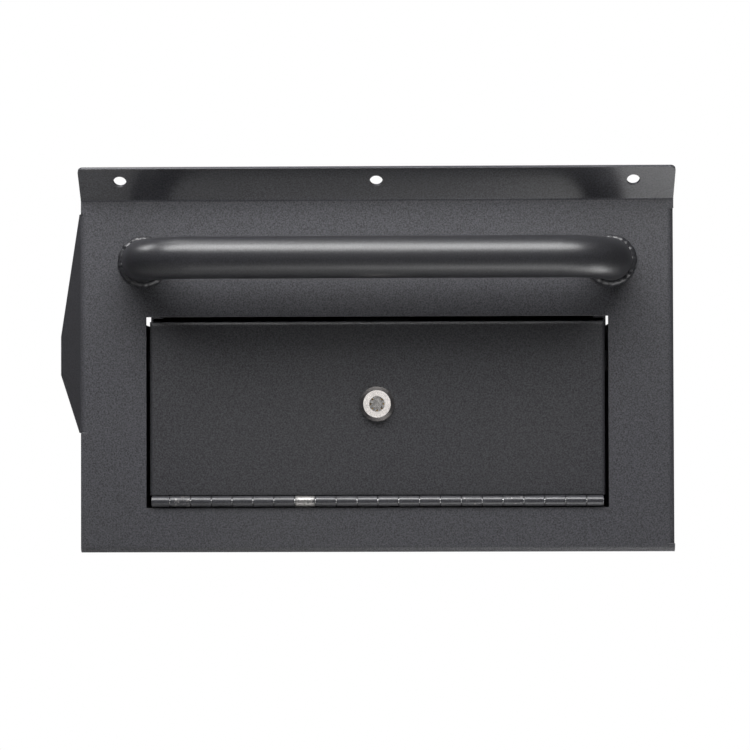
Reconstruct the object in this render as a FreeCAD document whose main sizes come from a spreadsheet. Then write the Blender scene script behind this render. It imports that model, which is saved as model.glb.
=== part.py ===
"""Wall-hung lock box with a drop-down door and a welded grab bar.

Millimetres, +X right, +Y into the wall, +Z up.  The origin lies on the back face of
the front panel, midway between the two legs of the grab bar and at their height.
"""
import FreeCAD, Part
import math
import os
import re

import Sketcher

# ---------------------------------------------------------------- driving dimensions
SIZES = {
    # front panel, one folded blank
    "panel_sheet": 2.0,
    "bend_inside": 2.0,
    "side_band": 40.0,
    "face_above_bar": 37.6,
    "bottom_band": 27.1,
    "flange_angle": 43.5,
    "flange_length": 24.2,
    "flange_corner": 3.0,
    "screw_hole": 7.9,
    "screw_hole_along": 14.4,
    "screw_hole_spacing": 156.0,
    "bottom_return": 22.0,
    "right_return": 18.0,
    "return_relief": 3.0,
    "ear_length": 64.0,
    "ear_flare": 19.0,
    "ear_root_above": 29.4,
    "ear_root_below": 104.6,
    "ear_tip_below": 46.1,
    "ear_tip_height": 20.5,
    # opening and the liner behind it
    "opening_width": 282.3,
    "opening_height": 116.8,
    "opening_below_bar": 33.9,
    "liner_sheet": 1.5,
    "liner_bend": 1.0,
    "liner_step": 1.0,
    "liner_depth": 140.0,
    "liner_flange": 12.0,
    "relief_start": 5.0,
    "relief_length": 45.0,
    "relief_width": 7.0,
    # grab bar
    "bar_tube": 25.4,
    "bar_wall": 2.1,
    "bar_span": 285.4,
    "bar_standoff": 36.2,
    "bar_bend": 32.0,
    "weld_leg": 3.8,
    # continuous hinge
    "barrel_tube": 6.35,
    "hinge_pin": 3.2,
    "pin_clearance": 0.05,
    "leaf_sheet": 1.5,
    "leaf_width": 19.0,
    "sill_gap": 0.925,
    "hinge_side_gap": 3.3,
    "knuckle_pitch": 12.7,
    "knuckle_gap": 0.4,
    "knuckle_relief": 0.45,
    "left_knuckle": 11.2,
    # door
    "door_sheet": 2.0,
    "door_side_gap": 2.05,
    "door_top_gap": 2.9,
    "door_hinge_gap": 0.5,
    "door_return": 10.0,
    "door_bend": 0.6,
    # cam lock
    "lock_below_opening": 53.5,
    "lock_flange": 21.2,
    "lock_face": 16.7,
    "lock_proud": 4.6,
    "lock_rim": 1.3,
    "lock_thread": 18.6,
    "lock_flats": 15.9,
    "lock_hole_clearance": 0.15,
    "key_slot": 9.5,
    "key_post": 6.3,
    "key_depth": 4.6,
    "key_notch": 1.8,
    "post_setback": 0.3,
    "plug_clearance": 0.05,
    "plug_shoulder": 6.0,
    "plug_collar": 13.0,
    "plug_end_play": 0.1,
    "cap_ring": 2.0,
    "tail_thread": 8.0,
    "tail_flats": 6.4,
    "stud_thread": 6.0,
    "stud_length": 5.2,
    "pin_bore": 1.2,
    "pin_length": 4.0,
    "spring_length": 4.5,
    "spring_wire": 0.2,
    "tumbler_clearance": 0.05,
    "washer_tube": 23.0,
    "washer_sheet": 1.0,
    "nut_across": 22.2,
    "nut_height": 3.2,
    "stop_sheet": 1.0,
    "stop_lug_angle": 60.0,
    "stop_slack": 1.0,
    "stop_root": 7.0,
    "lock_turn": 90.0,
    "cam_sheet": 2.5,
    "cam_tip_gap": 4.5,
    "cam_width": 16.0,
    "cam_hub": 19.0,
    "cam_nut_across": 10.0,
    "cam_nut_height": 3.2,
    # keeper and door stops
    "keeper_width": 40.0,
    "keeper_drop": 15.5,
    "keeper_gap": 2.0,
    "keeper_slack": 1.6,
    "keeper_leg": 26.0,
    "stop_height": 13.0,
    "stop_above_lock": 20.0,
    "stop_reach": 16.0,
    "stop_leg": 24.0,
    "bumper_head": 10.0,
    "bumper_height": 3.0,
    "bumper_stem": 4.0,
    "bumper_lip": 5.4,
    "seat_gap": 0.3,
    "stem_clearance": 0.1,
}

TUMBLERS = 7
SPRING_TURNS = 5

# ---------------------------------------------------------------- places worked out
PLACES = {
    "front": "-panel_sheet",
    "half_width": "opening_width / 2 + side_band",
    "face_bottom": "sill - bottom_band",
    "flange_mitre": "panel_sheet * tan(flange_angle * 0.5 deg)",
    "flange_run": "flange_length * cos(flange_angle * 1 deg)",
    "flange_rise": "flange_length * sin(flange_angle * 1 deg)",
    "outer_bend": "bend_inside + panel_sheet",
    "side_bend": "half_width - outer_bend",
    "flange_foot": "face_above_bar - bend_inside * tan(flange_angle * 0.5 deg)",
    "band_foot": "ceiling + liner_flange + liner_bend",
    "return_foot": "face_bottom + panel_sheet + return_relief",
    "return_head": "face_above_bar - 2 * return_relief",
    "ear_top": "ear_root_above",
    "ear_bottom": "-ear_root_below",
    "ear_tip_top": "-ear_tip_below",
    "ear_tip_bottom": "-ear_tip_below - ear_tip_height",
    "ear_depth": "ear_length * cos(ear_flare * 1 deg) - panel_sheet",
    "ear_out": "ear_length * sin(ear_flare * 1 deg)",
    "opening_top": "-opening_below_bar",
    "sill": "opening_top - opening_height",
    "liner_half": "opening_width / 2 + liner_step",
    "ceiling": "opening_top + liner_step",
    "liner_floor": "sill - liner_step",
    "hinge_line": "sill + sill_gap + barrel_tube / 2",
    "hinge_depth": "leaf_sheet - barrel_tube / 2",
    "leaf_root": "barrel_tube / 2 + knuckle_relief",
    "hinge_length": "opening_width - 2 * hinge_side_gap",
    "hinge_left": "-hinge_length / 2",
    "knuckle_pairs": "floor((hinge_length - left_knuckle) / (2 * knuckle_pitch))",
    "full_knuckles": "2 * knuckle_pairs * knuckle_pitch",
    "right_knuckle": "hinge_length - left_knuckle - full_knuckles",
    "door_half": "opening_width / 2 - door_side_gap",
    "door_top": "opening_top - door_top_gap",
    "door_foot": "hinge_line + barrel_tube / 2 + door_hinge_gap",
    "lock_height": "opening_top - lock_below_opening",
    "lock_front": "-door_sheet - lock_proud",
    "key_floor": "lock_front + key_depth",
    "lock_barrel": "keeper_front + liner_sheet + keeper_slack - stop_sheet - plug_end_play",
    "cap_front": "lock_barrel - cap_ring",
    "stop_front": "lock_barrel + plug_end_play",
    "cam_front": "stop_front + stop_sheet",
    "cam_back": "cam_front + cam_sheet",
    "cam_reach": "lock_below_opening + liner_step - cam_tip_gap",
    "spring_back": "key_floor + pin_length + spring_length",
    "tumbler_circle": "(key_slot + key_post) / 4",
    "keeper_front": "door_return + keeper_gap",
    "bumper_face": "door_return + seat_gap",
    "stop_face": "bumper_face + bumper_height",
    "bumper_out": "liner_half - liner_sheet - bumper_head / 2 - seat_gap",
    "bumper_up": "lock_height + stop_above_lock + stop_height / 2",
}

doc = FreeCAD.newDocument("lock_box")
sizes = doc.addObject("Spreadsheet::Sheet", "sizes")
for row, (alias, value) in enumerate(SIZES.items(), 1):
    sizes.set("A%d" % row, alias)
    sizes.set("B%d" % row, str(value))
    sizes.setAlias("B%d" % row, alias)
doc.recompute()

bodies = []


# ---------------------------------------------------------------- drawing helpers
def formula(text):
    """A formula in the names above, written out in the sheet's own cells."""
    def spell(match):
        word = match.group()
        if word in PLACES:
            return "(" + formula(PLACES[word]) + ")"
        return "sizes." + word if word in SIZES else word
    return re.sub(r"[a-z_]+", spell, text)


def value(text):
    """The number that a formula gives now."""
    return float(sizes.evalExpression(formula(text)))


def bind(item, prop, text):
    item.setExpression(prop, formula(text))


def new_body(name, up="0"):
    """A body named after its piece, raised by a formula where it has its own centre."""
    body = doc.addObject("PartDesign::Body", name)
    body.Label = name
    bind(body, "Placement.Base.z", up)
    bodies.append(body)
    return body


def new_sketch(body, role, name, at=("0", "0", "0"), turn=None):
    """A sketch on an origin plane, moved and turned in that plane's own axes."""
    plane = next(item for item in body.Origin.OriginFeatures if item.Role == role)
    sketch = body.newObject("Sketcher::SketchObject", body.Name + "_" + name)
    sketch.AttachmentSupport = [(plane, "")]
    sketch.MapMode = "FlatFace"
    if turn:
        axis, angle = turn
        sketch.AttachmentOffset = FreeCAD.Placement(
            FreeCAD.Vector(), FreeCAD.Rotation(FreeCAD.Vector(*axis), value(angle)))
        bind(sketch, "AttachmentOffset.Rotation.Angle", angle)
    for letter, text in zip("xyz", at):
        bind(sketch, "AttachmentOffset.Base." + letter, text)
    return sketch


def hold(sketch, item, point, place):
    """Hold one point of a sketch item at a pair of formulas."""
    for kind, axis, text in (("DistanceX", -2, place[0]), ("DistanceY", -1, place[1])):
        if abs(value(text)) < 1e-9:
            sketch.addConstraint(Sketcher.Constraint("PointOnObject", item, point, axis))
        else:
            number = sketch.addConstraint(
                Sketcher.Constraint(kind, -1, 1, item, point, value(text)))
            bind(sketch, "Constraints[%d]" % number, text)


def vector(place):
    return FreeCAD.Vector(value(place[0]), value(place[1]), 0)


def draw_outline(sketch, corners):
    """Straight edges round the corners, each corner held at its own formulas."""
    first = sketch.GeometryCount
    count = len(corners)
    for here, there in zip(corners, corners[1:] + corners[:1]):
        sketch.addGeometry(Part.LineSegment(vector(here), vector(there)), False)
    for number in range(count):
        following = first + (number + 1) % count
        sketch.addConstraint(Sketcher.Constraint("Coincident", first + number, 2, following, 1))
    for number, corner in enumerate(corners):
        hold(sketch, first + number, 1, corner)


def box_corners(left, right, low, high):
    return [(left, low), (right, low), (right, high), (left, high)]


def draw_circle(sketch, centre, diameter):
    radius = diameter + " / 2"
    item = sketch.addGeometry(
        Part.Circle(vector(centre), FreeCAD.Vector(0, 0, 1), value(radius)), False)
    hold(sketch, item, 3, centre)
    number = sketch.addConstraint(Sketcher.Constraint("Radius", item, value(radius)))
    bind(sketch, "Constraints[%d]" % number, radius)


def draw_double_flat(sketch, diameter, across):
    """A circle about the sketch's origin with a flat cut off its left and its right."""
    radius = value(diameter) / 2
    half = value(across) / 2
    slope = math.acos(half / radius)
    for start in (slope, math.pi + slope):
        circle = Part.Circle(FreeCAD.Vector(), FreeCAD.Vector(0, 0, 1), radius)
        sketch.addGeometry(Part.ArcOfCircle(circle, start, start + math.pi - 2 * slope), False)
    high = math.sqrt(radius ** 2 - half ** 2)
    for side in (-1, 1):
        sketch.addGeometry(Part.LineSegment(
            FreeCAD.Vector(side * half, -side * -high, 0),
            FreeCAD.Vector(side * half, -side * high, 0)), False)
    joins = [(0, 2, 2, 2), (2, 1, 1, 1), (1, 2, 3, 2), (3, 1, 0, 1)]
    for item in (0, 1):
        sketch.addConstraint(Sketcher.Constraint("Coincident", item, 3, -1, 1))
    for one, its_end, other, other_end in joins:
        sketch.addConstraint(Sketcher.Constraint("Coincident", one, its_end, other, other_end))
    number = sketch.addConstraint(Sketcher.Constraint("Radius", 0, radius))
    bind(sketch, "Constraints[%d]" % number, diameter + " / 2")
    for item, sign in ((2, "-"), (3, "")):
        sketch.addConstraint(Sketcher.Constraint("Vertical", item))
        number = sketch.addConstraint(
            Sketcher.Constraint("DistanceX", -1, 1, item, 1, value(sign + across + " / 2")))
        bind(sketch, "Constraints[%d]" % number, sign + across + " / 2")


def feature(body, kind, name, sketch, length, back=False, both=False):
    """A Pad or a Pocket of a sketch, its length bound to a formula."""
    item = body.newObject("PartDesign::" + kind, body.Name + "_" + name)
    item.Profile = sketch
    item.Length = value(length)
    bind(item, "Length", length)
    item.Reversed = back
    item.Midplane = both
    before = body.Shape.Volume if kind == "Pocket" else None
    doc.recompute()
    if before is not None and item.Shape.Volume > before - 1e-6:
        raise RuntimeError(item.Name + " cuts nothing")
    return item


def turned(body, name, sketch, angle="360"):
    """A solid of revolution about the sketch's upright axis."""
    item = body.newObject("PartDesign::Revolution", body.Name + "_" + name)
    item.Profile = sketch
    item.ReferenceAxis = (sketch, ["V_Axis"])
    bind(item, "Angle", angle)
    doc.recompute()
    return item


def round_edges(body, name, radius, ends):
    """Round the edges of the body that run between the given pairs of points."""
    tip = body.Tip
    pairs = [[FreeCAD.Vector(*[value(text) for text in point]) for point in pair] for pair in ends]
    names = []
    for number, edge in enumerate(tip.Shape.Edges, 1):
        if len(edge.Vertexes) != 2:
            continue
        one, other = [vertex.Point for vertex in edge.Vertexes]
        for start, finish in pairs:
            straight = one.distanceToPoint(start) + other.distanceToPoint(finish)
            crossed = one.distanceToPoint(finish) + other.distanceToPoint(start)
            if min(straight, crossed) < 1e-4:
                names.append("Edge%d" % number)
    if len(names) != len(pairs):
        raise RuntimeError("%s finds %d of %d edges" % (name, len(names), len(pairs)))
    item = body.newObject("PartDesign::Fillet", body.Name + "_" + name)
    item.Base = (tip, names)
    item.Radius = value(radius)
    bind(item, "Radius", radius)
    doc.recompute()
    return item


def across(y, z, half="half_width"):
    """The two ends of an edge that crosses the full width at one depth and height."""
    return (("-" + half, y, z), (half, y, z))


def upright(x, y, low, high):
    """The two ends of an edge that runs straight up."""
    return ((x, y, low), (x, y, high))


# ---------------------------------------------------------------- front panel
def make_front_panel():
    """Face, forward screw flange and bottom return of the folded blank, parted at its bends."""
    body = doc.addObject("PartDesign::Body", "panel_blank")
    section = new_sketch(body, "YZ_Plane", "section")
    flange_root = ("front", "face_above_bar")
    flange_tip = ("front - flange_rise", "face_above_bar + flange_run")
    flange_tip_back = ("front - flange_rise + panel_sheet * cos(flange_angle * 1 deg)",
                       "face_above_bar + flange_run + panel_sheet * sin(flange_angle * 1 deg)")
    mitre = ("0", "face_above_bar + flange_mitre")
    draw_outline(section, [
        ("front", "face_bottom"), flange_root, flange_tip, flange_tip_back, mitre,
        ("0", "face_bottom + panel_sheet"), ("bottom_return", "face_bottom + panel_sheet"),
        ("bottom_return", "face_bottom")])
    feature(body, "Pad", "fold", section, "2 * half_width", both=True)
    round_edges(body, "outer_bends", "outer_bend", [across(*mitre), across("front", "face_bottom")])
    round_edges(body, "inner_bends", "bend_inside",
                [across(*flange_root), across("0", "face_bottom + panel_sheet")])
    round_edges(body, "flange_corners", "flange_corner",
                [((side + "half_width",) + flange_tip, (side + "half_width",) + flange_tip_back)
                 for side in ("-", "")])

    opening = new_sketch(body, "XZ_Plane", "opening")
    draw_outline(opening, box_corners("-opening_width / 2", "opening_width / 2", "sill", "opening_top"))
    feature(body, "Pocket", "opening_cut", opening, "4 * panel_sheet", both=True)

    holes = new_sketch(body, "XZ_Plane", "holes", at=("0", "face_above_bar", "panel_sheet"),
                       turn=((1, 0, 0), "flange_angle"))
    for place in ("-screw_hole_spacing", "0", "screw_hole_spacing"):
        draw_circle(holes, (place, "screw_hole_along"), "screw_hole")
    feature(body, "Pocket", "screw_holes", holes, "4 * panel_sheet", both=True)

    notches = new_sketch(body, "XZ_Plane", "edge_notches")
    draw_outline(notches, box_corners("side_bend", "half_width + 1", "return_foot", "return_head"))
    draw_outline(notches, box_corners("-half_width - 1", "-side_bend", "ear_bottom", "ear_top"))
    feature(body, "Pocket", "edge_notch_cut", notches, "3 * panel_sheet", both=True)

    rest = body
    for name, low, high in (("screw_flange", "flange_foot", "face_above_bar + flange_length"),
                            ("bottom_return", "face_bottom - 1", "face_bottom + outer_bend"),
                            ("face_band", "band_foot", "flange_foot")):
        region = doc.addObject("Part::Box", name + "_region")
        for prop, text in (("Length", "2 * half_width + 2"), ("Placement.Base.x", "-half_width - 1"),
                           ("Width", "2 * bottom_return + 2"), ("Placement.Base.y", "-bottom_return - 1"),
                           ("Height", "%s - (%s)" % (high, low)), ("Placement.Base.z", low)):
            bind(region, prop, text)
        rest = parted(name, rest, region)
    rest.Label = "face_plate"
    bodies.append(rest)


def parted(name, sheet, region):
    """Part the sheet at a region: the piece inside it is kept, the rest goes back."""
    for kind, label in (("Common", name), ("Cut", name + "_off")):
        item = doc.addObject("Part::" + kind, label)
        item.Base, item.Tool = sheet, region
        if kind == "Common":
            bodies.append(item)
    doc.recompute()
    return item


def make_panel_sides():
    """Right return and the flared left ear, each folded back from an edge of the face."""
    body = new_body("right_return")
    side = new_sketch(body, "XY_Plane", "section", at=("0", "0", "return_foot"))
    draw_outline(side, [
        ("side_bend", "front"), ("half_width", "front"), ("half_width", "right_return"),
        ("half_width - panel_sheet", "right_return"), ("half_width - panel_sheet", "0"),
        ("side_bend", "0")])
    feature(body, "Pad", "fold", side, "return_head - return_foot")
    round_edges(body, "outer_bend", "outer_bend - 0.01",
                [upright("half_width", "front", "return_foot", "return_head")])
    round_edges(body, "inner_bend", "bend_inside - 0.01",
                [upright("half_width - panel_sheet", "0", "return_foot", "return_head")])

    body = new_body("left_ear")
    ear = new_sketch(body, "XY_Plane", "section", at=("0", "0", "ear_bottom"))
    inner_corner = "-half_width + panel_sheet * cos(ear_flare * 1 deg) / (1 + sin(ear_flare * 1 deg))"
    ear_tip = ("-half_width - ear_out", "ear_depth")
    draw_outline(ear, [
        ("-side_bend", "front"), ("-half_width", "front"), ear_tip,
        ("-half_width - ear_out + panel_sheet * cos(ear_flare * 1 deg)",
         "ear_depth + panel_sheet * sin(ear_flare * 1 deg)"),
        (inner_corner, "0"), ("-side_bend", "0")])
    feature(body, "Pad", "fold", ear, "ear_top - ear_bottom")
    round_edges(body, "outer_bend", "outer_bend",
                [upright("-half_width", "front", "ear_bottom", "ear_top")])
    round_edges(body, "inner_bend", "bend_inside", [upright(inner_corner, "0", "ear_bottom", "ear_top")])
    taper = new_sketch(body, "YZ_Plane", "taper")
    beyond = "ear_depth + panel_sheet"
    draw_outline(taper, [("panel_sheet", "ear_top"), (beyond, "ear_tip_top"), (beyond, "ear_top")])
    draw_outline(taper, [("panel_sheet", "ear_bottom"), (beyond, "ear_tip_bottom"), (beyond, "ear_bottom")])
    feature(body, "Pocket", "taper_cut", taper, "half_width + 2 * ear_out")


# ---------------------------------------------------------------- liner
def make_liner():
    """Ceiling, back and floor in one folded strip, and a plate with a flange each side."""
    body = new_body("liner_wrap")
    section = new_sketch(body, "YZ_Plane", "section")
    draw_outline(section, [
        ("0", "ceiling + liner_flange"), ("0", "ceiling"), ("liner_depth", "ceiling"),
        ("liner_depth", "liner_floor"), ("leaf_sheet", "liner_floor"), ("leaf_sheet", "liner_floor - liner_flange"),
        ("leaf_sheet + liner_sheet", "liner_floor - liner_flange"),
        ("leaf_sheet + liner_sheet", "liner_floor - liner_sheet"),
        ("liner_depth + liner_sheet", "liner_floor - liner_sheet"),
        ("liner_depth + liner_sheet", "ceiling + liner_sheet"),
        ("liner_sheet", "ceiling + liner_sheet"), ("liner_sheet", "ceiling + liner_flange")])
    feature(body, "Pad", "strip", section, "2 * liner_half", both=True)
    round_edges(body, "outer_bends", "liner_bend + liner_sheet", [
        across("0", "ceiling", "liner_half"), across("leaf_sheet", "liner_floor", "liner_half"),
        across("liner_depth + liner_sheet", "ceiling + liner_sheet", "liner_half"),
        across("liner_depth + liner_sheet", "liner_floor - liner_sheet", "liner_half")])
    round_edges(body, "inner_bends", "liner_bend", [
        across("liner_sheet", "ceiling + liner_sheet", "liner_half"),
        across("leaf_sheet + liner_sheet", "liner_floor - liner_sheet", "liner_half"),
        across("liner_depth", "ceiling", "liner_half"), across("liner_depth", "liner_floor", "liner_half")])
    relief = new_sketch(body, "XY_Plane", "corner_reliefs")
    for near, far in (("-liner_half - 1", "-liner_half + relief_width"),
                      ("liner_half - relief_width", "liner_half + 1")):
        draw_outline(relief, box_corners(near, far, "relief_start", "relief_start + relief_length"))
    feature(body, "Pocket", "corner_relief_cut", relief, "opening_below_bar + 2 * liner_sheet")

    for name, sign in (("liner_left_side", "-"), ("liner_right_side", "")):
        side = new_body(name)
        plan = new_sketch(side, "XY_Plane", "plan", at=("0", "0", "liner_floor - liner_sheet"))
        inside = sign + "liner_half"
        outside = sign + "(liner_half + liner_sheet)"
        flange_end = sign + "(liner_half + liner_flange)"
        draw_outline(plan, [
            (inside, "0"), (flange_end, "0"), (flange_end, "liner_sheet"), (outside, "liner_sheet"),
            (outside, "liner_depth + liner_sheet"), (inside, "liner_depth + liner_sheet")])
        feature(side, "Pad", "plate", plan, "ceiling - liner_floor + 2 * liner_sheet")
        low, high = "liner_floor - liner_sheet", "ceiling + liner_sheet"
        round_edges(side, "outer_bend", "liner_bend + liner_sheet", [upright(inside, "0", low, high)])
        round_edges(side, "inner_bend", "liner_bend", [upright(outside, "liner_sheet", low, high)])
        relief = new_sketch(side, "YZ_Plane", "relief")
        draw_outline(relief, box_corners("relief_start", "relief_start + relief_length",
                                         "ceiling + liner_sheet - relief_width", "ceiling + 2 * liner_sheet"))
        feature(side, "Pocket", "relief_cut", relief, "2 * liner_half + 2 * liner_flange", both=True)


def make_keeper():
    """Angle under the ceiling, whose lip the lock's cam turns up behind."""
    body = new_body("keeper_bracket")
    section = new_sketch(body, "YZ_Plane", "section")
    draw_outline(section, [
        ("keeper_front", "ceiling"), ("keeper_front", "ceiling - keeper_drop"),
        ("keeper_front + liner_sheet", "ceiling - keeper_drop"),
        ("keeper_front + liner_sheet", "ceiling - liner_sheet"),
        ("keeper_front + keeper_leg", "ceiling - liner_sheet"), ("keeper_front + keeper_leg", "ceiling")])
    feature(body, "Pad", "angle", section, "keeper_width", both=True)
    round_edges(body, "outer_bend", "liner_bend + liner_sheet",
                [across("keeper_front", "ceiling", "keeper_width / 2")])
    round_edges(body, "inner_bend", "liner_bend",
                [across("keeper_front + liner_sheet", "ceiling - liner_sheet", "keeper_width / 2")])


def make_door_stops():
    """An angle on each side plate, with a rubber button that the door's edge rests on."""
    low, high = "lock_height + stop_above_lock", "lock_height + stop_above_lock + stop_height"
    for name, sign in (("door_stop_left", "-"), ("door_stop_right", "")):
        body = new_body(name)
        plan = new_sketch(body, "XY_Plane", "plan", at=("0", "0", low))
        wall = sign + "liner_half"
        off_wall = sign + "(liner_half - liner_sheet)"
        reach = sign + "(liner_half - stop_reach)"
        draw_outline(plan, [
            (wall, "stop_face"), (reach, "stop_face"), (reach, "stop_face + liner_sheet"),
            (off_wall, "stop_face + liner_sheet"), (off_wall, "stop_face + stop_leg"),
            (wall, "stop_face + stop_leg")])
        feature(body, "Pad", "angle", plan, "stop_height")
        round_edges(body, "outer_bend", "liner_bend + liner_sheet", [upright(wall, "stop_face", low, high)])
        round_edges(body, "inner_bend", "liner_bend",
                    [upright(off_wall, "stop_face + liner_sheet", low, high)])
        hole = new_sketch(body, "XZ_Plane", "stem_hole")
        draw_circle(hole, (sign + "bumper_out", "bumper_up"), "(bumper_stem + 2 * stem_clearance)")
        feature(body, "Pocket", "stem_hole_cut", hole, "stop_face + stop_leg")

    rubber = new_body("door_bumpers")
    for name, sign in (("left", "-"), ("right", "")):
        half = new_sketch(rubber, "XY_Plane", name + "_button", at=(sign + "bumper_out", "0", "bumper_up"))
        behind = "stop_face + liner_sheet + stem_clearance"
        draw_outline(half, [
            ("0", "bumper_face"), ("bumper_head / 2 - 1", "bumper_face"),
            ("bumper_head / 2", "bumper_face + 1"), ("bumper_head / 2", "stop_face"),
            ("bumper_stem / 2", "stop_face"), ("bumper_stem / 2", behind), ("bumper_lip / 2", behind),
            ("bumper_stem / 2 - 1", behind + " + bumper_stem"), ("0", behind + " + bumper_stem")])
        turned(rubber, name + "_button_turned", half)


# ---------------------------------------------------------------- grab bar
def make_grab_bar():
    """Round tube with a bend at each end, its legs butted on the face and welded round."""
    body = new_body("grab_bar")
    spine = new_sketch(body, "XY_Plane", "centre_line")
    leg, bar = "bar_span / 2", "front - bar_standoff"
    inner, knee = "(bar_span / 2 - bar_bend)", "(front - bar_standoff + bar_bend)"
    lines = [(("-" + leg, "front"), ("-" + leg, knee)), (("-" + inner, bar), (inner, bar)),
             ((leg, knee), (leg, "front"))]
    for start, finish in lines:
        number = spine.addGeometry(Part.LineSegment(vector(start), vector(finish)), False)
        hold(spine, number, 1, start)
        hold(spine, number, 2, finish)
    for centre, start_angle, joins in (
            ("-" + inner, math.pi, ((0, 2, 1), (1, 1, 2))), (inner, 1.5 * math.pi, ((1, 2, 1), (2, 1, 2)))):
        circle = Part.Circle(vector((centre, knee)), FreeCAD.Vector(0, 0, 1), value("bar_bend"))
        number = spine.addGeometry(Part.ArcOfCircle(circle, start_angle, start_angle + math.pi / 2), False)
        for line, line_end, arc_end in joins:
            spine.addConstraint(Sketcher.Constraint("Coincident", line, line_end, number, arc_end))
    ring = new_sketch(body, "XZ_Plane", "tube_section", at=("-bar_span / 2", "0", "panel_sheet"))
    draw_circle(ring, ("0", "0"), "bar_tube")
    draw_circle(ring, ("0", "0"), "(bar_tube - 2 * bar_wall)")
    tube = body.newObject("PartDesign::AdditivePipe", "grab_bar_tube")
    tube.Profile = ring
    tube.Spine = spine
    doc.recompute()

    beads = new_body("bar_weld_beads")
    for name, sign in (("left", "-"), ("right", "")):
        section = new_sketch(beads, "XY_Plane", name + "_bead", at=(sign + "bar_span / 2", "0", "0"))
        draw_outline(section, [
            ("bar_tube / 2", "front"), ("bar_tube / 2 + weld_leg", "front"),
            ("bar_tube / 2 + weld_leg * 0.8", "front - weld_leg * 0.45"),
            ("bar_tube / 2 + weld_leg * 0.45", "front - weld_leg * 0.8"),
            ("bar_tube / 2", "front - weld_leg")])
        turned(beads, name + "_bead_turned", section)


# ---------------------------------------------------------------- continuous hinge
def make_hinge():
    """Two rolled leaves whose knuckles take turns along one pin."""
    pair = (("frame_hinge_leaf", "-", 0, "left_knuckle"), ("door_hinge_leaf", "", 1, "right_knuckle"))
    for name, sign, first, end_knuckle in pair:
        body = new_body(name, up="hinge_line")

        def pad_run(label, start, length, draw):
            sketch = new_sketch(body, "YZ_Plane", label, at=("0", "0", start))
            draw(sketch)
            return sketch, feature(body, "Pad", label + "_pad", sketch, length)

        def draw_plate(sketch):
            draw_outline(sketch, box_corners("0", "leaf_sheet", sign + "leaf_root", sign + "leaf_width"))

        def draw_barrel(sketch):
            draw_circle(sketch, ("hinge_depth", "0"), "barrel_tube")

        def draw_strap(sketch):
            draw_outline(sketch, box_corners("0", "leaf_sheet", "0", sign + "(leaf_root + leaf_sheet)"))

        full_start = "(hinge_left + left_knuckle + %d * knuckle_pitch)" % (1 - first)
        end_start = "hinge_left" if first == 0 else "(hinge_left + left_knuckle + full_knuckles)"
        pad_run("plate", "hinge_left", "hinge_length", draw_plate)
        for part, draw in (("barrel", draw_barrel), ("strap", draw_strap)):
            pad_run("end_" + part, end_start + " + knuckle_gap / 2", end_knuckle + " - knuckle_gap", draw)
        runs = []
        for part, draw in (("barrel", draw_barrel), ("strap", draw_strap)):
            runs.append(pad_run(part, full_start + " + knuckle_gap / 2", "knuckle_pitch - knuckle_gap", draw))
        row = body.newObject("PartDesign::LinearPattern", name + "_knuckles")
        row.Originals = [item for _, item in runs]
        row.Direction = (runs[0][0], ["N_Axis"])
        bind(row, "Occurrences", "knuckle_pairs")
        bind(row, "Length", "2 * knuckle_pitch * (knuckle_pairs - 1)")
        body.Tip = row
        doc.recompute()
        bore = new_sketch(body, "YZ_Plane", "bore", at=("0", "0", "hinge_left - 1"))
        draw_circle(bore, ("hinge_depth", "0"), "(hinge_pin + 2 * pin_clearance)")
        feature(body, "Pocket", "bore_cut", bore, "hinge_length + 2", back=True)

    pin = new_body("hinge_pin", up="hinge_line")
    end = new_sketch(pin, "YZ_Plane", "end", at=("0", "0", "hinge_left"))
    draw_circle(end, ("hinge_depth", "0"), "hinge_pin")
    feature(pin, "Pad", "wire", end, "hinge_length")


# ---------------------------------------------------------------- door
def make_door():
    """Shallow pan, turned back at its top and sides, hung on the hinge along its foot."""
    body = new_body("door_panel")
    face = new_sketch(body, "XZ_Plane", "face", at=("0", "0", "door_sheet"))
    draw_outline(face, box_corners("-door_half", "door_half", "door_foot", "door_top"))
    feature(body, "Pad", "block", face, "door_sheet + door_return", back=True)
    round_edges(body, "outer_bends", "door_bend + door_sheet", [
        across("-door_sheet", "door_top", "door_half"),
        upright("-door_half", "-door_sheet", "door_foot", "door_top"),
        upright("door_half", "-door_sheet", "door_foot", "door_top")])
    inside = new_sketch(body, "XZ_Plane", "inside")
    shoulder = "hinge_line + leaf_width + seat_gap"
    edge, wall = "door_half + 1", "door_half - door_sheet"
    draw_outline(inside, [
        ("-(" + edge + ")", "door_foot - 1"), (edge, "door_foot - 1"), (edge, shoulder), (wall, shoulder),
        (wall, "door_top - door_sheet"), ("-(" + wall + ")", "door_top - door_sheet"),
        ("-(" + wall + ")", shoulder), ("-(" + edge + ")", shoulder)])
    feature(body, "Pocket", "inside_cut", inside, "door_return")
    hole = new_sketch(body, "XZ_Plane", "lock_hole", at=("0", "lock_height", "0"))
    draw_double_flat(hole, "(lock_thread + 2 * lock_hole_clearance)", "(lock_flats + 2 * lock_hole_clearance)")
    feature(body, "Pocket", "lock_hole_cut", hole, "3 * door_sheet", both=True)


# ---------------------------------------------------------------- cam lock
def tumbler_places():
    """Seven of eight even places round the key post, none beside the key's notch."""
    turn = 360 / (TUMBLERS + 1)
    return [("tumbler_circle * cos(%g deg)" % (90 + turn * number),
             "tumbler_circle * sin(%g deg)" % (90 + turn * number)) for number in range(1, TUMBLERS + 1)]


def lock_piece(name):
    return new_body(name, up="lock_height")


def pad_behind(body, name, depth, length, draw):
    """Pad towards +Y from a depth behind the panel's back plane."""
    sketch = new_sketch(body, "XZ_Plane", name, at=("0", "0", "-(" + depth + ")"))
    draw(sketch)
    return feature(body, "Pad", name + "_pad", sketch, length, back=True)


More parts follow.
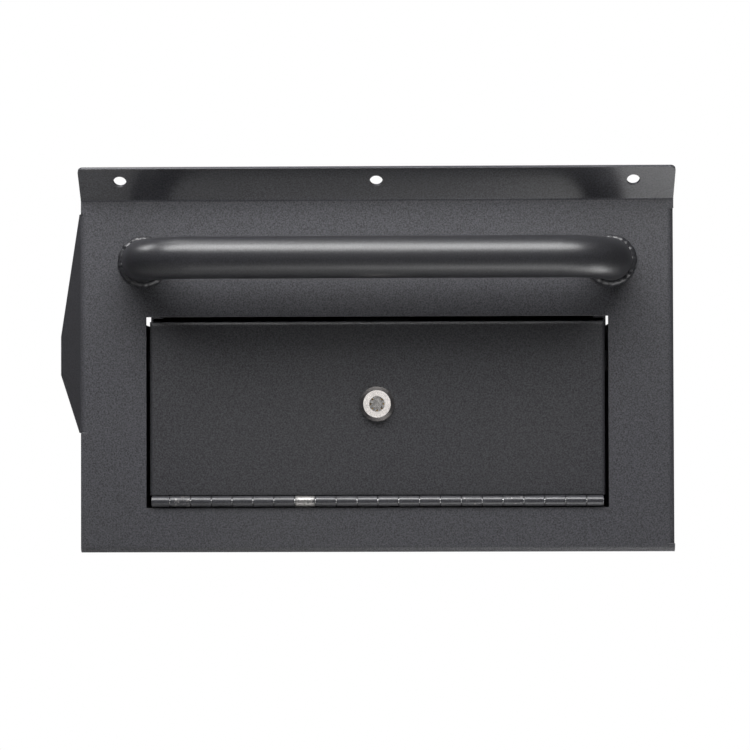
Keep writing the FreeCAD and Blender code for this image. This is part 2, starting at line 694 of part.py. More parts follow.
def cut_behind(body, name, depth, length, draw):
    """Cut towards +Y from a depth behind the panel's back plane."""
    sketch = new_sketch(body, "XZ_Plane", name, at=("0", "0", "-(" + depth + ")"))
    draw(sketch)
    return feature(body, "Pocket", name + "_cut", sketch, length)


def hexagon(across_flats):
    corner = across_flats + " / 2 / cos(30 deg) * "
    return [(corner + "cos(%d deg)" % turn, corner + "sin(%d deg)" % turn) for turn in range(0, 360, 60)]


def draw_beyond_flats(sketch, flats, diameter):
    """The two strips outside a pair of flats."""
    draw_outline(sketch, box_corners("-" + diameter, "-" + flats + " / 2", "-" + diameter, diameter))
    draw_outline(sketch, box_corners(flats + " / 2", diameter, "-" + diameter, diameter))


def make_lock_body():
    """Flanged and flatted barrel, bored for the plug, with a stop wall on its back end."""
    body = lock_piece("lock_body")
    half = new_sketch(body, "XY_Plane", "section")
    bore, chamber = "key_slot / 2", "plug_collar / 2 + plug_clearance"
    draw_outline(half, [
        (bore, "lock_front"), ("lock_face / 2", "lock_front"), ("lock_flange / 2", "-door_sheet - lock_rim"),
        ("lock_flange / 2", "-door_sheet"), ("lock_thread / 2", "-door_sheet"),
        ("lock_thread / 2", "lock_barrel"), (chamber, "lock_barrel"), (chamber, "plug_shoulder"),
        (bore, "plug_shoulder")])
    turned(body, "turned", half)
    wall = new_sketch(body, "XY_Plane", "stop_wall",
                      turn=((0, 1, 0), "-(90 - stop_lug_angle / 2 - stop_slack)"))
    draw_outline(wall, box_corners("stop_root", "lock_thread / 2", "lock_barrel - stop_sheet",
                                   "stop_front + stop_sheet / 2"))
    turned(body, "stop_wall_turned", wall, "360 - lock_turn - stop_lug_angle - 2 * stop_slack")
    cut_behind(body, "flats", "-door_sheet", "door_sheet + lock_barrel + 2 * stop_sheet",
               lambda sketch: draw_beyond_flats(sketch, "lock_flats", "lock_thread"))
    cut_behind(body, "key_notch", "lock_front", "key_notch", lambda sketch: draw_outline(
        sketch, box_corners("-key_notch / 2", "key_notch / 2", "key_slot / 2 - 1", "key_slot / 2 + key_notch / 2")))


def make_lock_plug():
    """Key post, slot floor, collar and flatted tail, drilled for the tumblers."""
    body = lock_piece("lock_plug")
    half = new_sketch(body, "XY_Plane", "section")
    nose, face = "key_slot / 2 - plug_clearance", "lock_front + post_setback"
    shoulder, collar_end = "plug_shoulder + plug_end_play", "cap_front - plug_end_play"
    shank_end = "cam_back - plug_end_play"
    draw_outline(half, [
        ("0", face), ("key_post / 2", face), ("key_post / 2", "key_floor"), (nose, "key_floor"),
        (nose, shoulder), ("plug_collar / 2", shoulder), ("plug_collar / 2", collar_end),
        ("tail_thread / 2", collar_end), ("tail_thread / 2", shank_end), ("stud_thread / 2", shank_end),
        ("stud_thread / 2", "cam_back + stud_length"), ("0", "cam_back + stud_length")])
    turned(body, "turned", half)
    cut_behind(body, "tail_flats", "cap_front", "lock_barrel",
               lambda sketch: draw_beyond_flats(sketch, "tail_flats", "tail_thread"))

    def draw_bores(sketch):
        for place in tumbler_places():
            draw_circle(sketch, place, "pin_bore")
    cut_behind(body, "tumbler_bores", "key_floor", "spring_back - key_floor", draw_bores)


def make_tumblers():
    """A row of pins at the floor of the key slot, each with a coil spring behind it."""
    def draw_pins(sketch):
        for place in tumbler_places():
            draw_circle(sketch, place, "(pin_bore - 2 * tumbler_clearance)")
    pad_behind(lock_piece("tumbler_pins"), "pins", "key_floor", "pin_length", draw_pins)

    wire = value("spring_wire")
    radius = value("pin_bore") / 2 - value("tumbler_clearance") - wire / 2
    run = value("spring_length") - 2 * value("tumbler_clearance") - wire
    helix = Part.makeHelix(run / SPRING_TURNS, run, radius)
    ring = Part.Wire(Part.makeCircle(wire / 2, FreeCAD.Vector(radius, 0, 0), FreeCAD.Vector(0, 1, 0)))
    coil = Part.Wire(helix).makePipeShell([ring], True, True)
    coils = []
    for across_lock, up_lock in tumbler_places():
        spring = coil.copy()
        spring.rotate(FreeCAD.Vector(), FreeCAD.Vector(1, 0, 0), -90)
        spring.translate(FreeCAD.Vector(
            value(across_lock), value("key_floor + pin_length") + value("tumbler_clearance") + wire / 2,
            value(up_lock)))
        coils.append(spring)
    springs = doc.addObject("Part::Feature", "tumbler_springs")
    springs.Label = "tumbler_springs"
    springs.Shape = Part.makeCompound(coils)
    springs.Placement = FreeCAD.Placement(FreeCAD.Vector(0, 0, value("lock_height")), FreeCAD.Rotation())
    bind(springs, "Placement.Base.z", "lock_height")
    bodies.append(springs)


def make_lock_fastenings():
    """Cap ring, washers, nuts and the stop washer that limits the turn."""
    def ring(name, depth, length, outer, inner):
        def draw(sketch):
            draw_circle(sketch, ("0", "0"), outer)
            draw_circle(sketch, ("0", "0"), inner)
        pad_behind(lock_piece(name), "ring", depth, length, draw)

    def nut(name, depth, length, across_flats, bore):
        def draw(sketch):
            draw_outline(sketch, hexagon(across_flats))
            draw_circle(sketch, ("0", "0"), bore)
        pad_behind(lock_piece(name), "hexagon", depth, length, draw)

    ring("lock_cap_ring", "cap_front", "cap_ring", "plug_collar", "(tail_thread + 4 * plug_clearance)")
    ring("lock_washer", "0", "washer_sheet", "washer_tube", "(lock_thread + 2 * lock_hole_clearance)")
    nut("lock_nut", "washer_sheet", "nut_height", "nut_across", "(lock_thread + 2 * plug_clearance)")
    ring("cam_washer", "cam_back", "washer_sheet", "(cam_nut_across + 2 * washer_sheet)",
         "(stud_thread + 2 * lock_hole_clearance)")
    nut("cam_nut", "cam_back + washer_sheet", "cam_nut_height", "cam_nut_across",
        "(stud_thread + 2 * plug_clearance)")

    washer = lock_piece("stop_washer")
    pad_behind(washer, "disc", "stop_front", "stop_sheet",
               lambda sketch: draw_circle(sketch, ("0", "0"), "(2 * stop_root - 2 * lock_hole_clearance)"))
    reach = "(lock_thread / 2 - lock_hole_clearance)"
    half_angle = "(stop_lug_angle / 2 * 1 deg)"
    pad_behind(washer, "lug", "stop_front", "stop_sheet", lambda sketch: draw_outline(sketch, [
        ("0", "0"), ("-%s * cos%s" % (reach, half_angle), "%s * sin%s" % (reach, half_angle)),
        ("-" + reach, "0"), ("-%s * cos%s" % (reach, half_angle), "-%s * sin%s" % (reach, half_angle))]))
    cut_tail_hole(washer, "stop_front", "stop_sheet")


def cut_tail_hole(body, depth, sheet):
    """The double-flat hole that keys a washer or the cam to the plug's tail."""
    cut_behind(body, "tail_hole", depth, sheet, lambda sketch: draw_double_flat(
        sketch, "(tail_thread + 2 * plug_clearance)", "(tail_flats + 2 * plug_clearance)"))


def make_lock_cam():
    """Flat arm, turned aside from the keeper while the lock is open."""
    body = lock_piece("lock_cam")
    pad_behind(body, "hub", "cam_front", "cam_sheet",
               lambda sketch: draw_circle(sketch, ("0", "0"), "cam_hub"))
    pad_behind(body, "arm", "cam_front", "cam_sheet", lambda sketch: draw_outline(sketch, [
        ("0", "cam_width / 2"), ("-cam_reach + cam_width / 4", "cam_width / 2"),
        ("-cam_reach", "cam_width / 4"), ("-cam_reach", "-cam_width / 4"),
        ("-cam_reach + cam_width / 4", "-cam_width / 2"), ("0", "-cam_width / 2")]))
    cut_tail_hole(body, "cam_front", "cam_sheet")


# ---------------------------------------------------------------- build, test and write
for make in (make_front_panel, make_panel_sides, make_liner, make_keeper, make_door_stops, make_grab_bar, make_hinge,
             make_door, make_lock_body, make_lock_plug, make_tumblers, make_lock_fastenings, make_lock_cam):
    make()
doc.recompute()

failed = [item.Name for item in doc.Objects if {"Invalid", "Error"} & set(item.State)]
failed += [body.Label for body in bodies if body.Shape.isNull() or not body.Shape.isValid()]
if failed:
    raise RuntimeError("not built: " + ", ".join(failed))

os.makedirs("parts", exist_ok=True)
for body in bodies:
    body.Shape.exportStep("parts/%s.step" % body.Label)
    print("%-18s %2d solids %10.1f mm3" % (body.Label, len(body.Shape.Solids), body.Shape.Volume))
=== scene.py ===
# %% [markdown]
# # A black powder-coated lock box with a grab bar
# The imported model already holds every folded, turned and drilled piece at its real size. This script
# gives those pieces their finishes, adds the weld beads that hold the box together, and lights it all.
# It works in metres: X runs to the right, Y into the wall and Z up.

# %% Load the model and note its box
import bpy
import bmesh
import math
from mathutils import Matrix, Vector, noise


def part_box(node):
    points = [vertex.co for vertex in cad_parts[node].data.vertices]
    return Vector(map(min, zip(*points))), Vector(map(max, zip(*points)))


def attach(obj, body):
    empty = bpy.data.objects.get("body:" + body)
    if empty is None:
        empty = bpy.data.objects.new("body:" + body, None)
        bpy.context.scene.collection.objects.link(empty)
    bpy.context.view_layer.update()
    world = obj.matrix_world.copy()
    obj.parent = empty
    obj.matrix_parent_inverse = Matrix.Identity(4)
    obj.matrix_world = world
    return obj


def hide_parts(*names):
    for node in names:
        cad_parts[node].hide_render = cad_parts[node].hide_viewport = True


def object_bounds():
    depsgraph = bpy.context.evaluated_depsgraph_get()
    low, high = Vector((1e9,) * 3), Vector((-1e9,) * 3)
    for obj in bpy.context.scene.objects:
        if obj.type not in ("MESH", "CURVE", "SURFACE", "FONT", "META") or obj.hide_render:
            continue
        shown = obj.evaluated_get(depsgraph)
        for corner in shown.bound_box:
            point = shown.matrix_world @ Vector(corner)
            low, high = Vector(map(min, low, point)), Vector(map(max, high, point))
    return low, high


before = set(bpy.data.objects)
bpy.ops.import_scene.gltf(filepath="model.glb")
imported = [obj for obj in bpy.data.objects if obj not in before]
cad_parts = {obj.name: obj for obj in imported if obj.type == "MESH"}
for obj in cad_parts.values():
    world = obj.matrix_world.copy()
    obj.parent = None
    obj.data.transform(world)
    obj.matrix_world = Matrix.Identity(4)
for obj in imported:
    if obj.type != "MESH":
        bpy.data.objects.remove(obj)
cad_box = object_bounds()
MM = 0.001
print("pieces in the model:", len(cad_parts))

# %% [markdown]
# A few places are asked for often: the plane of the panel's face, the height of the lock, and the two
# legs of the bar. They are read from the pieces, so a new size in the model moves them too.

# %% Places read from the pieces
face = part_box("door_panel")[0].y
lock_low, lock_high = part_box("lock_body")
lock_centre = Vector((0, 0, (lock_low.z + lock_high.z) / 2))
bead_low, bead_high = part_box("bar_weld_beads")
bead_outer = (bead_high.z - bead_low.z) / 2
leg_x = bead_high.x - bead_outer
wrap_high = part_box("liner_wrap")[1]
print("face at %.1f mm, lock at %.1f mm, legs at %.1f mm" % (face / MM, lock_centre.z / MM, leg_x / MM))

# %% [markdown]
# The camera stands about a metre and a half in front, a little right of the middle and below it, and
# looks up by one degree. A long lens keeps the upright edges nearly parallel.

# %% Camera
LENS = 117.96  # millimetres, behind a sensor 36 mm wide
scene = bpy.context.scene
camera_data = bpy.data.cameras.new("camera")
camera_data.sensor_width = 36
camera_data.lens = LENS
camera = bpy.data.objects.new("camera", camera_data)
scene.collection.objects.link(camera)
scene.camera = camera
camera.location = (0.0219, -1.502, -0.1001)
pitch, yaw, roll = math.radians(1.160), math.radians(0.883), math.radians(-0.17)
camera.rotation_euler = (Matrix.Rotation(yaw, 3, "Z") @ Matrix.Rotation(math.pi / 2 + pitch, 3, "X")
                         @ Matrix.Rotation(roll, 3, "Z")).to_euler()
print("lens %.1f mm" % LENS)

# %% [markdown]
# ## Helpers for materials
# Every finish is a small node network. These helpers keep the wiring short: `add` makes a node and joins
# its inputs, whether they are numbers or other nodes' outputs, and `new_finish` starts a material with its
# shader. Patterns read Object coordinates, so they stay on the piece when it moves.

# %% Node helpers
def add(tree, kind, output=0, settings=None, **inputs):
    """Make a node, set it up, feed its inputs by name or number, and give back one output."""
    node = tree.nodes.new(kind)
    for name, setting in (settings or {}).items():
        setattr(node, name, setting)
    for name, value in inputs.items():
        socket = node.inputs[int(name[1:])] if name[1:].isdigit() else node.inputs[name.replace("_", " ")]
        if isinstance(value, bpy.types.NodeSocket):
            tree.links.new(value, socket)
        else:
            socket.default_value = value
    return node.outputs[output]


def place_on_piece(tree):
    return add(tree, "ShaderNodeTexCoord", "Object")


def grain(tree, scale, detail=2.0, roughness=0.5, vector=None):
    """Even cloudy noise, from 0 to 1."""
    return add(tree, "ShaderNodeTexNoise", Vector=vector or place_on_piece(tree), Scale=scale, Detail=detail,
               Roughness=roughness)


def calc(tree, operation, a, b=0.0, clamp=False):
    return add(tree, "ShaderNodeMath", settings={"operation": operation, "use_clamp": clamp}, i0=a, i1=b)


def span(tree, value, low, high, new_low=0.0, new_high=1.0):
    """Stretch a value from one range to another and stop it at the ends."""
    return add(tree, "ShaderNodeMapRange", Value=value, From_Min=low, From_Max=high, To_Min=new_low,
               To_Max=new_high)


def blend_colour(tree, amount, one, other):
    mix = tree.nodes.new("ShaderNodeMix")
    mix.data_type = "RGBA"
    for socket, value in ((mix.inputs[0], amount), (mix.inputs[6], one), (mix.inputs[7], other)):
        if isinstance(value, bpy.types.NodeSocket):
            tree.links.new(value, socket)
        else:
            socket.default_value = value
    return mix.outputs[2]


def bump(tree, height, strength, distance, normal=None):
    inputs = dict(Height=height, Strength=strength, Distance=distance)
    if normal:
        inputs["Normal"] = normal
    return add(tree, "ShaderNodeBump", **inputs)


def new_finish(name):
    """A material with an empty shader, and its node tree."""
    material = bpy.data.materials.new(name)
    material.use_nodes = True
    tree = material.node_tree
    return material, tree, tree.nodes["Principled BSDF"]


def feed(tree, shader, **inputs):
    """Join node outputs to the shader's sockets, or set plain values on them."""
    for name, value in inputs.items():
        socket = shader.inputs[name.replace("_", " ")]
        if isinstance(value, bpy.types.NodeSocket):
            tree.links.new(value, socket)
        else:
            socket.default_value = value


def grey(level, blue=0.0):
    return (level, level, level * (1 + blue), 1)


# %% [markdown]
# ## Powder coat
# Powder coat is sprayed on dry and baked. It flows into a skin with a fine, even pebble, rounded over
# every cut edge. The pebble is two sizes of noise in a bump. The rounding is a bevelled normal, and where
# it differs from the flat normal the surface is an edge, which is where hands rub the coat a shade lighter.

# %% Powder coat
EDGE_ROUNDING = 0.5 * MM


def powder_coat(name, level, roughness, pebble=1.0, edge_shine=1.0):
    """A textured black coat: its tone, its gloss, how strong the pebble is, and how rubbed the edges."""
    material, tree, shader = new_finish(name)
    fine = grain(tree, 1100, 2.0, 0.6)
    coarse = grain(tree, 480, 2.0)
    cloud = grain(tree, 9, 3.0)
    rounded = add(tree, "ShaderNodeBevel", settings={"samples": 4}, Radius=EDGE_ROUNDING)
    flat = add(tree, "ShaderNodeNewGeometry", "Normal")
    facing = add(tree, "ShaderNodeVectorMath", "Value", {"operation": "DOT_PRODUCT"}, i0=rounded, i1=flat)
    edge = span(tree, facing, 0.985, 0.8, 0.0, 0.55 * edge_shine)
    tone = blend_colour(tree, span(tree, fine, 0.3, 0.7), grey(level * 0.6, 0.10), grey(level * 1.45, 0.16))
    tone = blend_colour(tree, span(tree, cloud, 0.3, 0.75, 0.0, 0.35), tone, grey(level * 0.8, 0.05))
    tone = blend_colour(tree, edge, tone, grey(level * 2.6, 0.05))
    feed(tree, shader, Base_Color=tone)
    feed(tree, shader, Roughness=span(tree, cloud, 0.25, 0.75, roughness - 0.04, roughness + 0.05))
    height = calc(tree, "ADD", calc(tree, "MULTIPLY", fine, 0.6), calc(tree, "MULTIPLY", coarse, 0.4))
    sheen = span(tree, fine, 0.3, 0.7, 0.5 - 0.25 * pebble, 0.5 + 0.25 * pebble)
    feed(tree, shader, Specular_IOR_Level=sheen)
    feed(tree, shader, Normal=bump(tree, height, 0.6 * pebble, 0.2 * MM, rounded))
    return material, tree, shader


coats = {
    "panel": powder_coat("panel_coat", 0.040, 0.50, pebble=0.9),
    # the flange's coat is a shade lighter than the panel's, which is painted light on the sloped flange; its
    # low roughness and pebble are the smoother coat
    "flange": powder_coat("flange_coat_lit", 0.046, 0.23, pebble=0.12),
    "door": powder_coat("door_coat", 0.024, 0.52, pebble=0.75),
    "bar": powder_coat("bar_coat", 0.020, 0.34, pebble=0.15, edge_shine=0.0),
    "liner": powder_coat("liner_coat", 0.028, 0.50),
    "hinge": powder_coat("hinge_coat", 0.034, 0.30, pebble=0.3),
}
print("coats:", ", ".join(coats))

# %% [markdown]
# ## Worn knuckles
# The hinge is coated with the box, but its knuckles stand proud and get rubbed when the door is dropped
# on something hard. One of the door's knuckles has lost most of its coat. A band along X picks the
# knuckle out and cloudy noise breaks the band up, so bare steel shows through in patches.

# %% Scuffs on the hinge
hinge_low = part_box("door_hinge_leaf")[0]
KNUCKLE = 12.7 * MM
FIRST_JOINT = 11.2 * MM


def knuckle_middle(number):
    """Where the middle of a full knuckle lies along X, counting the short left one as 0."""
    return hinge_low.x + FIRST_JOINT + (number - 0.5) * KNUCKLE


def scuff(tree, shader, worn):
    """Let bare steel through the coat on the knuckles given as number and amount."""
    along = add(tree, "ShaderNodeSeparateXYZ", "X", Vector=place_on_piece(tree))
    patches = grain(tree, 420, 4.0, 0.7)
    total = None
    for number, amount in worn:
        off_middle = calc(tree, "ABSOLUTE", calc(tree, "SUBTRACT", along, knuckle_middle(number)))
        band = span(tree, off_middle, 0.35 * KNUCKLE, 0.5 * KNUCKLE, 1.0, 0.0)
        share = calc(tree, "MULTIPLY", band, span(tree, patches, 0.62 - 0.3 * amount, 0.72 - 0.2 * amount))
        total = share if total is None else calc(tree, "MAXIMUM", total, share)
    coat_tone = shader.inputs["Base Color"].links[0].from_socket
    feed(tree, shader, Base_Color=blend_colour(tree, total, coat_tone, (0.30, 0.29, 0.28, 1)))
    feed(tree, shader, Metallic=calc(tree, "MULTIPLY", total, 0.75))


tree, shader = coats["hinge"][1:]
scuff(tree, shader, ((7, 0.9), (1, 0.3), (15, 0.12), (17, 0.12)))
print("scuffed knuckles along X:", [round(knuckle_middle(n) / MM, 1) for n in (7, 1, 15, 17)])

# %% [markdown]
# ## Bare metals and rubber
# Polished and plated metals share one recipe: full metal, a tint, a roughness that a little noise breaks
# up, and a very fine bump where a tool or a roller has left its mark.

# %% Metals and rubber
def bare_metal(name, tint, roughness, mark=0.1, mark_scale=900):
    material, tree, shader = new_finish(name)
    marks = grain(tree, mark_scale, 3.0, 0.6)
    wear = grain(tree, 160, 3.0)
    dull = tuple(channel * 0.8 for channel in tint)
    feed(tree, shader, Metallic=1.0)
    feed(tree, shader, Base_Color=blend_colour(tree, span(tree, wear, 0.35, 0.75), (*tint, 1), (*dull, 1)))
    feed(tree, shader, Roughness=span(tree, marks, 0.3, 0.7, roughness * 0.75, roughness * 1.35))
    feed(tree, shader, Normal=bump(tree, marks, mark, 0.03 * MM))
    return material, tree, shader


def rubber(name):
    material, tree, shader = new_finish(name)
    skin = grain(tree, 700, 3.0)
    feed(tree, shader, Base_Color=blend_colour(tree, skin, grey(0.018), grey(0.035)))
    feed(tree, shader, Roughness=span(tree, skin, 0.3, 0.7, 0.6, 0.8))
    feed(tree, shader, Normal=bump(tree, skin, 0.3, 0.05 * MM))
    return material, tree, shader


metals = {
    "chrome": bare_metal("lock_chrome", (0.80, 0.76, 0.73), 0.13, 0.05),
    "plug": bare_metal("plug_chrome", (0.62, 0.60, 0.58), 0.22, 0.1),
    "brass": bare_metal("tumbler_brass", (0.72, 0.52, 0.26), 0.3),
    "zinc": bare_metal("zinc_plate", (0.62, 0.63, 0.62), 0.32, 0.15, 500),
    "wire": bare_metal("drawn_wire", (0.50, 0.50, 0.50), 0.3),
    "rubber": rubber("stop_rubber"),
}
print("metals:", ", ".join(metals))

# %% [markdown]
# ## Which piece takes which finish
# One table says it, so a finish can be changed in one place.

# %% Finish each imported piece
SHEET_PARTS = ["face_plate", "face_band", "screw_flange", "bottom_return", "right_return", "left_ear"]
FINISHES = {
    "panel": SHEET_PARTS,
    "door": ["door_panel"],
    "bar": ["grab_bar"],
    "liner": ["liner_wrap", "liner_left_side", "liner_right_side", "keeper_bracket", "door_stop_left",
              "door_stop_right"],
    "hinge": ["frame_hinge_leaf", "door_hinge_leaf"],
    "chrome": ["lock_body"],
    "plug": ["lock_plug"],
    "brass": ["tumbler_pins"],
    "zinc": ["lock_cap_ring", "lock_washer", "lock_nut", "stop_washer", "lock_cam", "cam_washer", "cam_nut"],
    "wire": ["hinge_pin", "tumbler_springs"],
    "rubber": ["door_bumpers"],
}


def set_finish(piece, material):
    piece.data.materials.clear()
    piece.data.materials.append(material)


finishes = {**coats, **metals}
for finish, names in FINISHES.items():
    for name in names:
        set_finish(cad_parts[name], finishes[finish][0])
print("finished:", sum(len(names) for names in FINISHES.values()), "packed pieces")

# %% [markdown]
# ## One folded panel
# The imported model parts the panel at its bends. Here the parts' meshes are copied together, their shared
# points are merged and the hidden faces between them are dropped, so light runs across each bend with no
# seam. The imported pieces stay as they are, and the joined sheet stands in for them. The flange lies across
# the spray gun's path, where the coat flows out smoother, so it gets a glossier coat above the bend. That
# coat is also set a shade lighter than the face's, which is painted light on the sloped flange.

# %% Join the folded panel
def make_piece(name, mesh, material, body="box", smooth=True):
    """Turn a finished bmesh into an object that rides on a body."""
    data = bpy.data.meshes.new(name)
    mesh.to_mesh(data)
    mesh.free()
    piece = bpy.data.objects.new(name, data)
    scene.collection.objects.link(piece)
    for polygon in data.polygons:
        polygon.use_smooth = smooth
    set_finish(piece, material)
    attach(piece, body)
    return piece


mesh = bmesh.new()
for name in SHEET_PARTS:
    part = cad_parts[name]
    copy = bmesh.new()
    copy.from_mesh(part.data)
    copy.transform(part.matrix_world)
    data = bpy.data.meshes.new(name + "_copy")
    copy.to_mesh(data)
    copy.free()
    mesh.from_mesh(data)
    bpy.data.meshes.remove(data)
bmesh.ops.remove_doubles(mesh, verts=mesh.verts, dist=0.002 * MM)
seams = (("screw_flange", 0), ("bottom_return", 1), ("face_band", 0))
seam_heights = [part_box(name)[end].z for name, end in seams]
side_seams = [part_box("right_return")[0].x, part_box("left_ear")[1].x]


def on_seam(polygon):
    """Whether a face lies between two parts of the sheet."""
    normal, middle = polygon.normal, polygon.calc_center_median()
    level = abs(normal.z) > 0.999 and any(abs(middle.z - z) < 0.01 * MM for z in seam_heights)
    upright = abs(normal.x) > 0.999 and any(abs(middle.x - x) < 0.01 * MM for x in side_seams)
    return (level or upright) and middle.y < 0.001 * MM


hidden = [polygon for polygon in mesh.faces if on_seam(polygon)]
print("faces:", len(mesh.faces), "between parts:", len(hidden))
bmesh.ops.delete(mesh, geom=hidden, context="FACES")
bmesh.ops.dissolve_limit(mesh, angle_limit=math.radians(0.5), verts=mesh.verts, edges=mesh.edges)
folded_panel = make_piece("folded_panel", mesh, coats["panel"][0], smooth=False)
folded_panel.data.materials.append(coats["flange"][0])
flange_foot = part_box("screw_flange")[0].z
for polygon in folded_panel.data.polygons:
    polygon.material_index = int(polygon.center.z > flange_foot)
for name in SHEET_PARTS:
    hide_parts(name)

# %% [markdown]
# ## Weld beads round the bar's legs
# A welder lays a bead as a row of small overlapping puddles. The bead starts as one arc from the tube to
# the face, is spun round the leg, and then each ring of points is swelled by a ripple for the puddles and
# by slower noise for the hand that held the torch. The powder coat covers it, so it wears the bar's finish.

# %% Weld beads round the legs
TUBE_RADIUS = 12.7 * MM
RINGS = 220
PUDDLES = 22


def leg_bead(name, centre_x, seed):
    """A rippled fillet bead between a leg of the bar and the panel's face."""
    leg = bead_outer - TUBE_RADIUS
    mesh = bmesh.new()
    steps = 8
    arc = []
    for step in range(steps + 1):
        turn = math.pi / 2 * step / steps
        arc.append(mesh.verts.new((TUBE_RADIUS + leg * math.cos(turn), -leg * math.sin(turn), 0)))
    for one, other in zip(arc, arc[1:]):
        mesh.edges.new((one, other))
    bmesh.ops.spin(mesh, geom=mesh.verts[:] + mesh.edges[:], cent=(0, 0, 0), axis=(0, 1, 0),
                   angle=math.tau, steps=RINGS, use_merge=True)
    bmesh.ops.remove_doubles(mesh, verts=mesh.verts, dist=1e-7)
    for vertex in mesh.verts:
        round_leg = math.atan2(vertex.co.z, vertex.co.x)
        radius = math.hypot(vertex.co.x, vertex.co.z)
        out = radius - TUBE_RADIUS
        slant = abs(math.sin(round_leg * PUDDLES / 2 - 90 * out))
        hand = noise.noise(Vector((math.cos(round_leg) * 2.2, math.sin(round_leg) * 2.2, seed)))
        lump = noise.noise(Vector((math.cos(round_leg) * 6, math.sin(round_leg) * 6, seed)))
        size = min(0.84 + 0.05 * slant + 0.18 * hand + 0.12 * lump, 1.0)
        grown = TUBE_RADIUS + out * size
        vertex.co.x, vertex.co.z = grown * math.cos(round_leg), grown * math.sin(round_leg)
        vertex.co.y *= size
    bmesh.ops.translate(mesh, vec=(centre_x, face, (bead_low.z + bead_high.z) / 2), verts=mesh.verts)
    bmesh.ops.recalc_face_normals(mesh, faces=mesh.faces)
    return make_piece(name, mesh, coats["bar"][0])


for name, centre_x, seed in (("weld_bead_left", -leg_x, 3.1), ("weld_bead_right", leg_x, 8.4)):
    bead = leg_bead(name, centre_x, seed)
    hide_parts("bar_weld_beads")
    print(name, len(bead.data.polygons), "faces")

# %% [markdown]
# ## Stitch welds on the liner
# The liner's side plates are joined to the folded strip, and their flanges to the panel's back, by short
# stitches with gaps between them, because a full seam would pull the thin sheet out of shape. Each stitch
# is a half-round bar, drawn out along the seam and rippled like the beads round the legs.

# %% Stitch welds
STITCH = 18 * MM
STITCH_HEIGHT = 1.1 * MM
PUDDLE = 2.1 * MM
BEHIND_NOTCH = 55 * MM


def stitch(name, start, along, out_one, out_two, sweep=math.pi / 2):
    """A bead that begins at start, runs along the seam and bulges from one direction to another."""
    mesh = bmesh.new()
    start, along, out_one, out_two = (Vector(item) for item in (start, along, out_one, out_two))
    steps, slices = 8, 36
    ring = []
    for step in range(steps + 1):
        turn = sweep * step / steps
        out = out_one * math.cos(turn) + out_two * math.sin(turn)
        ring.append(mesh.verts.new(start + STITCH_HEIGHT * out))
    if sweep < math.pi:
        ring.append(mesh.verts.new(start))
    grown = bmesh.ops.extrude_face_region(mesh, geom=[mesh.faces.new(ring)])
    moved = [item for item in grown["geom"] if isinstance(item, bmesh.types.BMVert)]
    bmesh.ops.translate(mesh, vec=along * STITCH, verts=moved)
    long_edges = [edge for edge in mesh.edges if edge.calc_length() > STITCH * 0.9]
    bmesh.ops.subdivide_edges(mesh, edges=long_edges, cuts=slices - 1, use_grid_fill=True)
    for vertex in mesh.verts:
        gone = (vertex.co - start).dot(along)
        core = start + along * gone
        taper = max(0.0, 1 - (2 * gone / STITCH - 1) ** 4) ** 0.5
        ripple = 0.84 + 0.16 * abs(math.sin(gone / PUDDLE * math.pi))
        vertex.co = core + (vertex.co - core) * (0.25 + 0.75 * taper) * ripple
    bmesh.ops.recalc_face_normals(mesh, faces=mesh.faces)
    make_piece(name, mesh, coats["liner"][0])


def evenly(low, high, count):
    """Starts of stitches spread evenly between two ends, each a stitch long."""
    room = (high - low - count * STITCH) / count
    return [low + room / 2 + number * (STITCH + room) for number in range(count)]


side_low, side_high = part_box("liner_right_side")
flange_top, seam_x, plate_top, plate_bottom = wrap_high.z, wrap_high.x, side_high.z, side_low.z
leaf_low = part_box("frame_hinge_leaf")[0]
UP, DOWN, RIGHT, LEFT, BACK = (0, 0, 1), (0, 0, -1), (1, 0, 0), (-1, 0, 0), (0, 1, 0)
for side, out in (("left", LEFT), ("right", RIGHT)):
    sign = out[0]
    for number, z in enumerate(evenly(plate_bottom, plate_top, 3), 1):
        stitch("stitch_flange_%s_%d" % (side, number), (sign * side_high.x, 0, z), UP, out, BACK)
    for number, y in enumerate(evenly(BEHIND_NOTCH, side_high.y, 3), 1):
        stitch("stitch_top_%s_%d" % (side, number), (sign * seam_x, y, plate_top), BACK, RIGHT, UP, math.pi)
        stitch("stitch_foot_%s_%d" % (side, number), (sign * seam_x, y, plate_bottom), BACK, RIGHT, DOWN,
               math.pi)
for number, x in enumerate(evenly(-seam_x, seam_x, 5), 1):
    stitch("stitch_ceiling_%d" % number, (x, 0, flange_top), RIGHT, UP, BACK)
    stitch("stitch_hinge_%d" % number, (x, 0, leaf_low.z), RIGHT, DOWN, BACK)

# %% [markdown]
# ## The room
# The box hangs clear of a pale floor, so the floor only bounces light and takes a soft shadow. The floor
# and the sky both read as plain white to the camera. Mirror rays see the white only behind the box, and a
# dim room in front of it, which is what gives the tube and the lock their dark centres.

# %% Floor and sky
FLOOR_DROP = 0.62
FLOOR_SIZE = 30.0
SHADOW_EDGE, CLEAR_FLOOR = 1.2, 3.5
NEAR_GLOW = 0.88
mesh = bmesh.new()
bmesh.ops.create_grid(mesh, x_segments=1, y_segments=1, size=FLOOR_SIZE / 2)
bmesh.ops.translate(mesh, vec=(0, 0, cad_box[0].z - FLOOR_DROP), verts=mesh.verts)
floor_data = bpy.data.meshes.new("floor")
mesh.to_mesh(floor_data)
mesh.free()
floor = bpy.data.objects.new("floor", floor_data)
scene.collection.objects.link(floor)

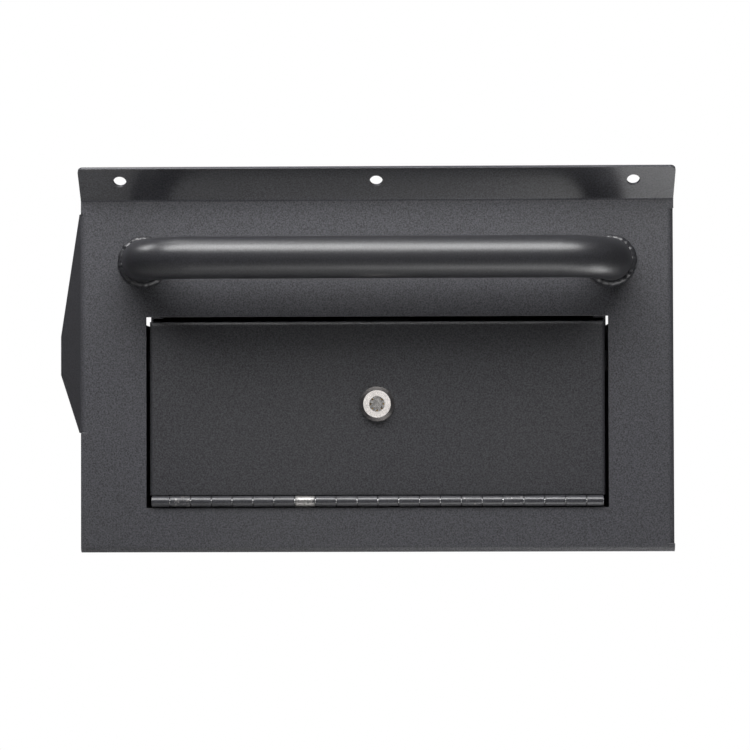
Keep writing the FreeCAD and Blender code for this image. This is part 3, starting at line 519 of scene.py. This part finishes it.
floor_finish, tree, shader = new_finish("pale_floor")
feed(tree, shader, Base_Color=grey(0.80), Roughness=0.6)
rays = add(tree, "ShaderNodeLightPath", "Is Camera Ray")
glow = add(tree, "ShaderNodeEmission", Color=(1, 1, 1, 1), Strength=1.0)
away = add(tree, "ShaderNodeVectorMath", "Value", {"operation": "LENGTH"}, i0=place_on_piece(tree))
cover = calc(tree, "MULTIPLY", rays, span(tree, away, SHADOW_EDGE, CLEAR_FLOOR, NEAR_GLOW, 1.0))
shade = add(tree, "ShaderNodeMixShader", i0=cover, i1=shader.outputs[0], i2=glow)
tree.links.new(shade, tree.nodes["Material Output"].inputs["Surface"])
set_finish(floor, floor_finish)

world = bpy.data.worlds.new("studio")
scene.world = world
world.use_nodes = True
tree = world.node_tree
tree.nodes.clear()
seen = add(tree, "ShaderNodeLightPath", "Is Camera Ray")
mirrored = add(tree, "ShaderNodeLightPath", "Is Glossy Ray")
through = add(tree, "ShaderNodeLightPath", "Is Transmission Ray")
looking = add(tree, "ShaderNodeSeparateXYZ", "Y", Vector=add(tree, "ShaderNodeTexCoord", "Generated"))
behind = span(tree, looking, 0.975, 0.995)
bright = calc(tree, "MULTIPLY", calc(tree, "MAXIMUM", mirrored, through), behind)
bright = calc(tree, "MAXIMUM", bright, seen)
ROOM_LEVEL = 0.03
level = span(tree, bright, 0, 1, ROOM_LEVEL, 1.0)
sky = add(tree, "ShaderNodeBackground", Color=(1, 1, 1, 1), Strength=level)
tree.links.new(sky, tree.nodes.new("ShaderNodeOutputWorld").inputs["Surface"])
scene.view_settings.view_transform = "Standard"
print("floor at %.0f mm" % ((cad_box[0].z - FLOOR_DROP) / MM))

# %% [markdown]
# ## Studio lights
# One long soft box hangs in front and above. It lights the face, throws the bar's shadow on to the door
# and draws the broad streak along the tube. A narrow strip sharpens the streak's middle, and a box
# overhead brightens the top. A small box high on the left and a large one low on the right catch one bend
# of the bar from above and the other from below. A broad fill under the box lifts the tube's underside,
# and a faint card far in front gives the lock something pale to mirror.

# %% Lights
def soft_box(name, place, aim, width, height, watts):
    data = bpy.data.lights.new(name, "AREA")
    data.shape = "RECTANGLE"
    data.size, data.size_y, data.energy = width, height, watts
    lamp = bpy.data.objects.new(name, data)
    scene.collection.objects.link(lamp)
    lamp.location = place
    lamp.rotation_euler = (Vector(aim) - Vector(place)).to_track_quat("-Z", "Y").to_euler()
    print(name, "%.1f W" % watts)


soft_box("key_box", (-0.068, -0.4675, 0.578), (0, -0.03, 0), 1.10, 0.36, 15.24)
soft_box("key_strip", (0.02, -0.76, 0.52), (0, -0.03, 0), 0.34, 0.04, 0.9)
soft_box("top_box", (-0.18, -0.20, 0.95), (0, -0.03, 0), 1.0, 0.4, 4.0)
soft_box("left_box", (-0.85, 0.06, 0.62), (-0.14, -0.04, 0), 0.30, 0.30, 2.8)
soft_box("right_box", (0.52, 0.16, -0.82), (0.13, -0.04, 0), 0.9, 0.6, 12)
soft_box("low_fill", (0.19, -0.14, -0.8), (0.1, -0.03, 0), 0.92, 0.75, 6.2)
soft_box("lock_card", (-0.03, -1.72, -0.06), lock_centre, 0.26, 0.16, 0.16)
